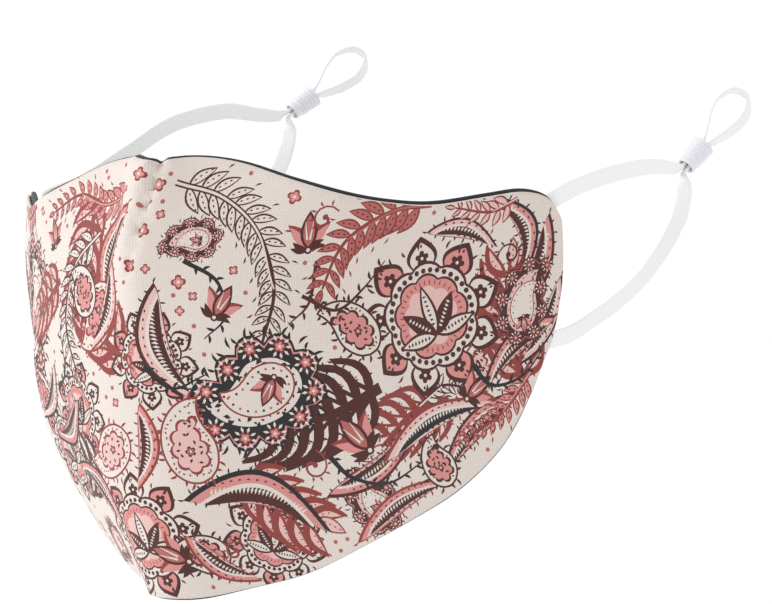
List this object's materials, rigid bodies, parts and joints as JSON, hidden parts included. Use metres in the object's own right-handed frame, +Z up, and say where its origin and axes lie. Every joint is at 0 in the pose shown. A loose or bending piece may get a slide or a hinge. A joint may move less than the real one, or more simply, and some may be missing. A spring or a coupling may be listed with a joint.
{
  "type": "cloth face mask",
  "caption": "Shaped cloth face mask with a nose dart, a dark lining, flat elastic ear straps and ribbed adjusters on the straps.",
  "frame": {"origin": "inside face of the lining at the top of the nose bridge, where the mask sits on the nose", "axes": "-Y is the way the wearer faces, +Y runs back to the ears, +X is the wearer's left, +Z is up"},
  "size_m": [0.1957, 0.2074, 0.1672],
  "materials": {
    "printed_cloth": "matt knitted polyester, cream ground with a pink, maroon and near-black paisley print",
    "lining_cloth": "matt near-black knitted cloth",
    "elastic": "white flat knitted elastic",
    "silicone": "white soft silicone, slightly satin"
  },
  "bodies": {
    "root": {"printed_cover": "printed_cloth", "lining": "lining_cloth", "left_ear_strap": "elastic", "right_ear_strap": "elastic", "left_adjuster": "silicone", "right_adjuster": "silicone"}
  },
  "joints": []
}
